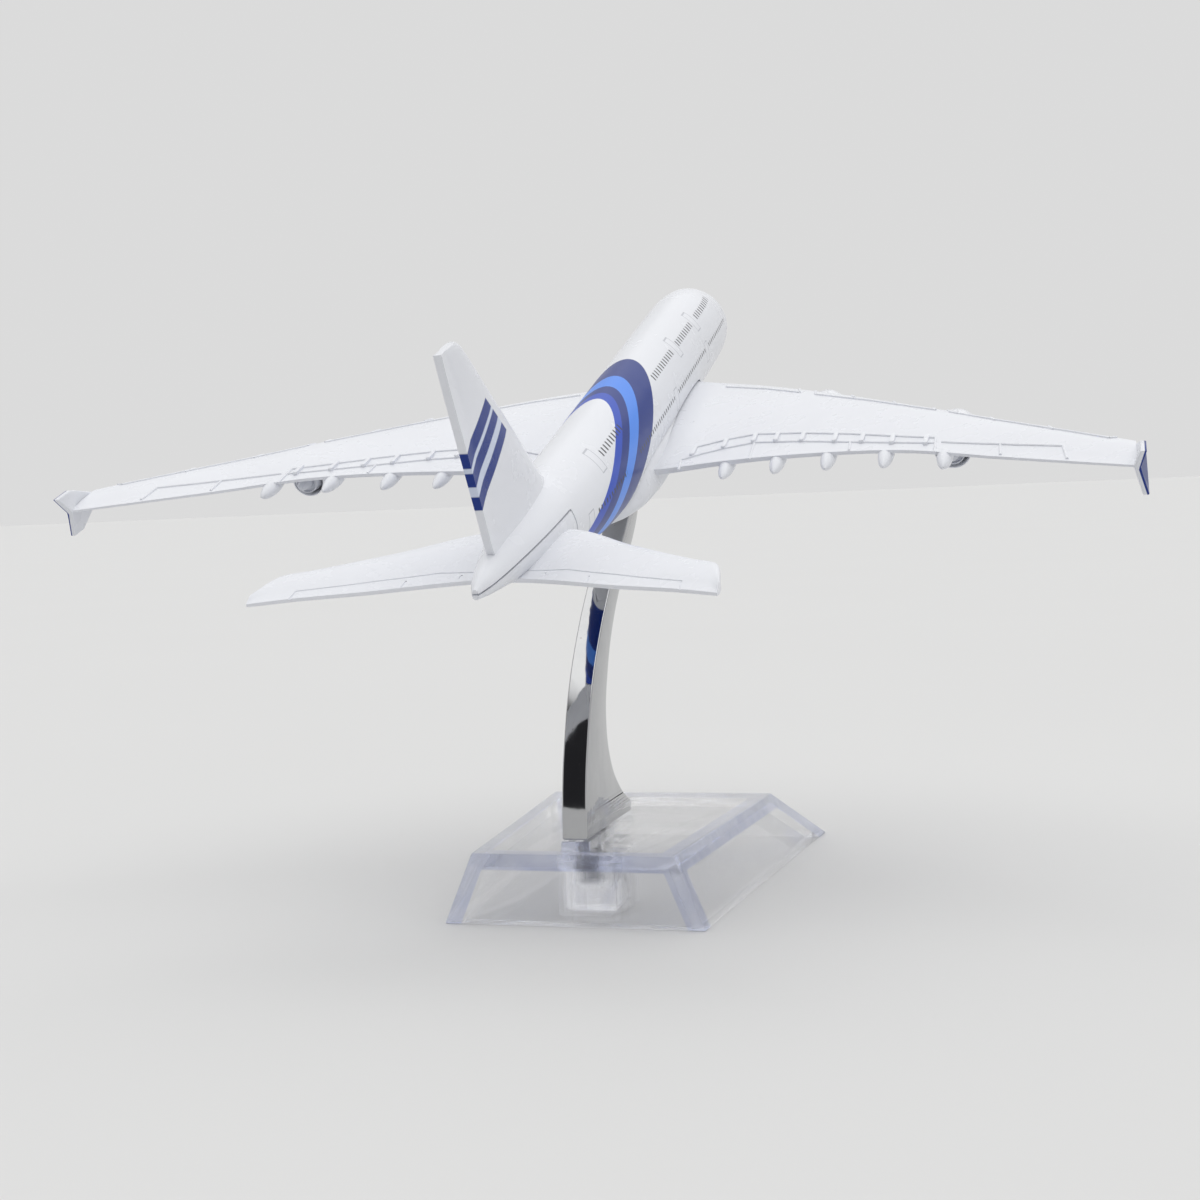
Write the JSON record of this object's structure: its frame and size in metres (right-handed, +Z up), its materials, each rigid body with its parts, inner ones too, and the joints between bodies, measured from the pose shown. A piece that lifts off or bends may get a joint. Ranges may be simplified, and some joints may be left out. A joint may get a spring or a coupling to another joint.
{
  "type": "desktop airliner model on stand",
  "caption": "Die-cast double-deck airliner model that turns on a chrome curved arm, plugged into a clear hollow wedge base.",
  "frame": {"origin": "on the table, under the middle of the whole model's box", "axes": "-Y towards the nose, +X to port, +Z up"},
  "size_m": [0.1798, 0.1624, 0.1111],
  "materials": {
    "white_paint": "gloss white paint with printed blue bands over a zinc casting",
    "cowl_paint": "gloss white moulded plastic",
    "fan_grey": "dark grey moulded fan face",
    "nozzle_grey": "grey moulded nozzle with a metallic tint",
    "steel": "turned steel",
    "chrome": "bright plated metal",
    "clear_plastic": "clear moulded plastic with a faint violet tint at its edges"
  },
  "bodies": {
    "base": {"base_shell": "clear_plastic"},
    "arm": {"stand_arm": "chrome"},
    "pin": {"swivel_pin": "steel"},
    "aircraft": {"fuselage_casting": "white_paint", "wing_casting": "white_paint", "tailplane_casting": "white_paint", "wing_screw_front": "steel", "wing_screw_rear": "steel", "tail_screw": "steel", "nacelle_inner_port": "cowl_paint", "fan_disc_inner_port": "fan_grey", "core_nozzle_inner_port": "nozzle_grey", "nacelle_inner_starboard": "cowl_paint", "fan_disc_inner_starboard": "fan_grey", "core_nozzle_inner_starboard": "nozzle_grey", "nacelle_outer_port": "cowl_paint", "fan_disc_outer_port": "fan_grey", "core_nozzle_outer_port": "nozzle_grey", "nacelle_outer_starboard": "cowl_paint", "fan_disc_outer_starboard": "fan_grey", "core_nozzle_outer_starboard": "nozzle_grey"}
  },
  "joints": [
    {"name": "arm_lift", "type": "slide", "parent": "base", "child": "arm", "axis": [0, 0, 1], "range_m": [0, 0.012]},
    {"name": "aircraft_turn", "type": "hinge", "parent": "arm", "child": "pin", "pos_m": [0, -0.00831, 0.06946], "axis": [0, 0.3681, 0.9298], "continuous": true},
    {"name": "aircraft_lift", "type": "slide", "parent": "pin", "child": "aircraft", "axis": [0, 0.3681, 0.9298], "range_m": [0, 0.006]}
  ]
}
